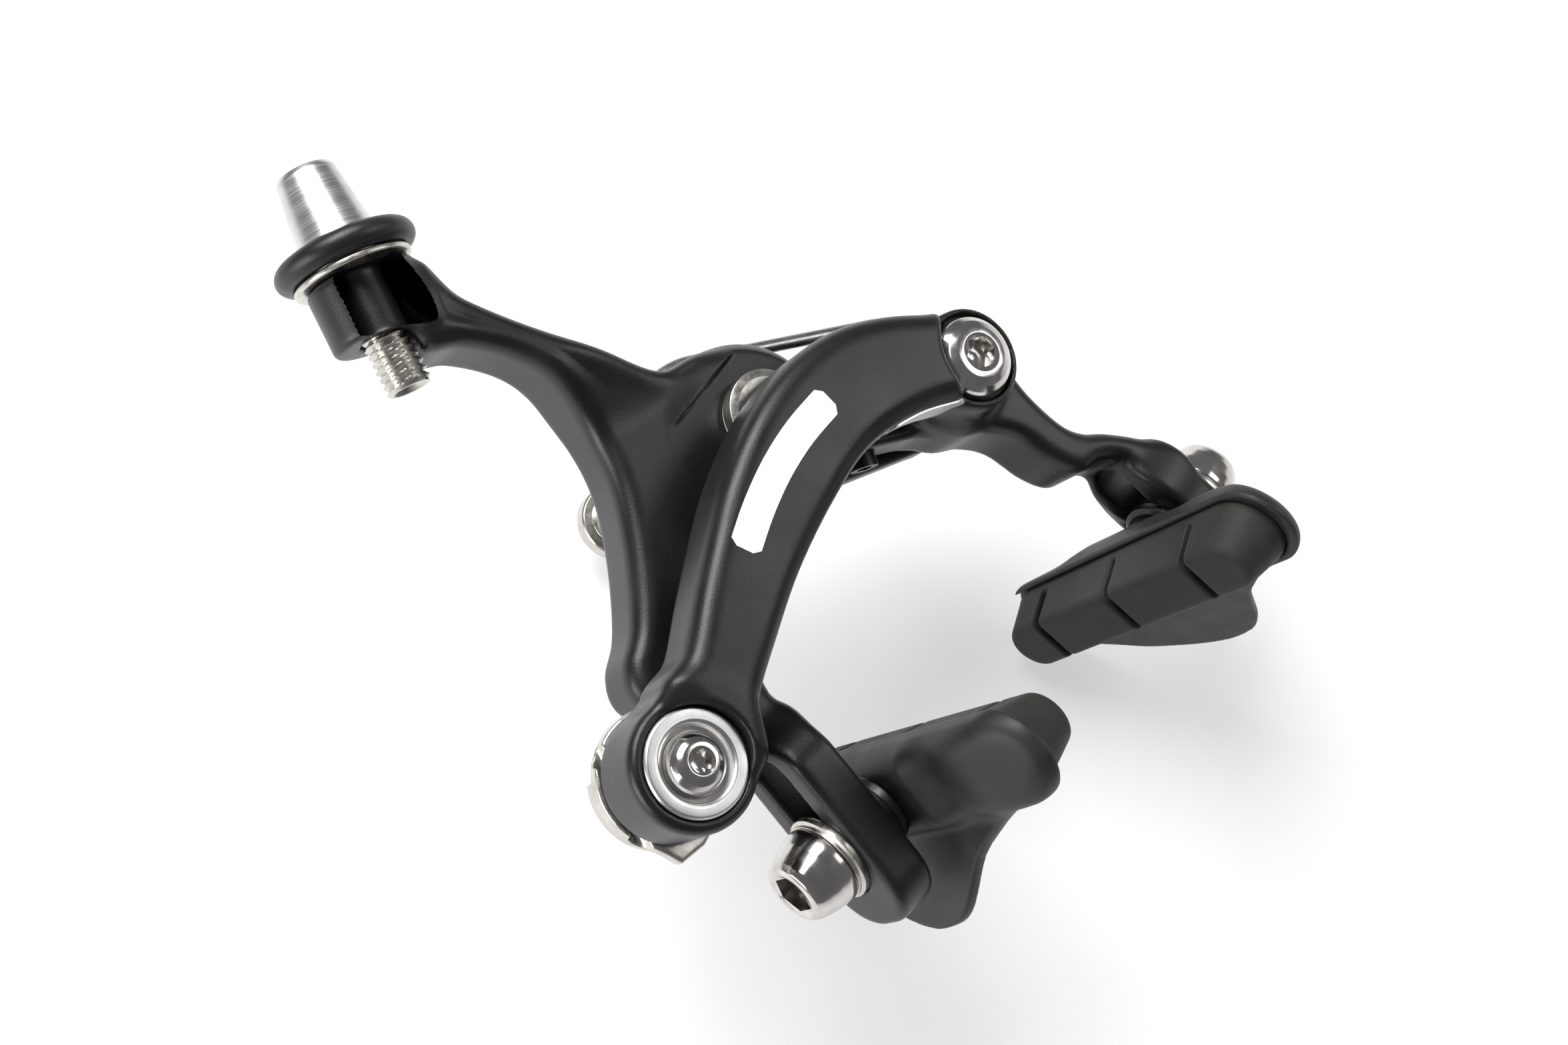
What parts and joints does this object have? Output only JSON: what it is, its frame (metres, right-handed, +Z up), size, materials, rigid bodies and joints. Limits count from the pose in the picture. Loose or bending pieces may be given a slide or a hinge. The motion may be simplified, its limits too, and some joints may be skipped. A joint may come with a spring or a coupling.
{
  "type": "rim brake caliper",
  "caption": "Black dual-pivot rim brake caliper with an arched front arm, Y-shaped rear arm, barrel adjuster, cable anchor and brake shoes on slotted arms.",
  "frame": {"origin": "on the centre bolt's axis, at the rear face of the serrated washer, which seats on the fork crown or the brake bridge", "axes": "+Y to the rear along the centre bolt, +Z up, +X to the right as seen from the front"},
  "size_m": [0.1036, 0.0825, 0.1412],
  "materials": {
    "black_paint": "satin, finely grained",
    "holder_black": "satin, finely grained",
    "polished_steel": "polished",
    "satin_steel": "satin",
    "dark_steel": "dark oxide",
    "spring_steel": "drawn wire",
    "satin_aluminium": "brushed",
    "bush_brass": "satin",
    "polymer_washer": "matte",
    "ring_rubber": "matte",
    "pad_rubber": "matte"
  },
  "bodies": {
    "mounting": {"centre_bolt": "polished_steel", "recessed_nut": "polished_steel", "serrated_washer": "dark_steel", "centre_locknut": "satin_steel", "pivot_bridge": "black_paint", "thrust_washers": "polymer_washer", "side_pivot_screw": "polished_steel", "return_spring": "spring_steel"},
    "tension_screw": {"tension_screw": "dark_steel"},
    "rear_arm": {"rear_arm": "black_paint", "centre_bush": "bush_brass", "spring_seat": "polymer_washer", "adjuster_washer": "satin_steel"},
    "front_arm": {"front_arm": "black_paint", "side_bush": "bush_brass", "blank_label": "satin_aluminium", "cup_washer": "satin_steel"},
    "adjuster_barrel": {"adjuster_screw": "satin_steel"},
    "adjuster_cap": {"adjuster_cap": "satin_aluminium", "adjuster_o_ring": "ring_rubber"},
    "anchor_bolt": {"anchor_bolt": "polished_steel"},
    "cable_clamp": {"cable_clamp_plate": "satin_steel", "anchor_nut": "satin_steel"},
    "centring_screw": {"centring_screw": "dark_steel"},
    "left_shoe_mount": {"left_pad_bolt": "polished_steel", "left_flange_washer": "satin_steel", "left_ball_washers": "satin_steel"},
    "left_pad_holder": {"left_pad_holder": "holder_black"},
    "left_pad_rubber": {"left_pad_rubber": "pad_rubber"},
    "right_shoe_mount": {"right_pad_bolt": "polished_steel", "right_flange_washer": "satin_steel", "right_ball_washers": "satin_steel"},
    "right_pad_holder": {"right_pad_holder": "holder_black"},
    "right_pad_rubber": {"right_pad_rubber": "pad_rubber"}
  },
  "joints": [
    {"name": "rear_arm_swing", "type": "hinge", "parent": "mounting", "child": "rear_arm", "pos_m": [0, -0.0158, 0], "axis": [0, -1, 0], "range_deg": [0, 8], "stiffness_Nm_per_rad": 1, "springref_deg": -34.38, "deforming": ["return_spring"]},
    {"name": "front_arm_swing", "type": "hinge", "parent": "mounting", "child": "front_arm", "pos_m": [0.024, -0.02, -0.0165], "axis": [0, 1, 0], "range_deg": [0, 9.6]},
    {"name": "adjuster_turn", "type": "hinge", "parent": "adjuster_barrel", "child": "adjuster_cap", "pos_m": [-0.027, -0.021, 0.042], "axis": [0.4194, 0, 0.9078], "range_deg": [0, 2160]},
    {"name": "adjuster_travel", "type": "slide", "parent": "rear_arm", "child": "adjuster_barrel", "axis": [0.4194, 0, 0.9078], "range_m": [0, 0.006]},
    {"name": "anchor_bolt_turn", "type": "hinge", "parent": "front_arm", "child": "anchor_bolt", "pos_m": [-0.0473, -0.03, -0.0168], "axis": [0, -1, 0], "range_deg": [0, 720]},
    {"name": "cable_clamp_travel", "type": "slide", "parent": "front_arm", "child": "cable_clamp", "axis": [0, 1, 0], "range_m": [0, 0.002]},
    {"name": "centring_screw_turn", "type": "hinge", "parent": "front_arm", "child": "centring_screw", "pos_m": [0.008, -0.01575, -0.0164], "axis": [0.5665, 0, 0.824], "range_deg": [0, 720]},
    {"name": "tension_screw_turn", "type": "hinge", "parent": "mounting", "child": "tension_screw", "pos_m": [0.01488, -0.0075, -0.01023], "axis": [0.5665, 0, 0.824], "range_deg": [0, 720]},
    {"name": "left_pad_height", "type": "slide", "parent": "rear_arm", "child": "left_shoe_mount", "axis": [0.1908, 0, 0.9816], "range_m": [-0.0025, 0.007]},
    {"name": "left_pad_pitch", "type": "hinge", "parent": "left_shoe_mount", "child": "left_pad_holder", "pos_m": [-0.0354, -0.0175, -0.0424], "axis": [0.9816, 0, -0.1908], "range_deg": [-6, 6]},
    {"name": "left_pad_slide", "type": "slide", "parent": "left_pad_holder", "child": "left_pad_rubber", "axis": [0.0067, 0.9994, 0.0343], "range_m": [0, 0.05]},
    {"name": "right_pad_height", "type": "slide", "parent": "front_arm", "child": "right_shoe_mount", "axis": [0, 0, 1], "range_m": [-0.004, 0.001]},
    {"name": "right_pad_pitch", "type": "hinge", "parent": "right_shoe_mount", "child": "right_pad_holder", "pos_m": [0.0366, -0.0175, -0.0578], "axis": [1, 0, 0], "range_deg": [-6, 6]},
    {"name": "right_pad_slide", "type": "slide", "parent": "right_pad_holder", "child": "right_pad_rubber", "axis": [0, 0.9998, -0.0174], "range_m": [0, 0.05]}
  ],
  "couplings": [
    {"joint": "front_arm_swing", "follows": "rear_arm_swing", "ratio": 1.2},
    {"joint": "adjuster_turn", "follows": "adjuster_travel", "rad_per_m": 6283.1},
    {"joint": "anchor_bolt_turn", "follows": "cable_clamp_travel", "rad_per_m": 6283.1}
  ]
}
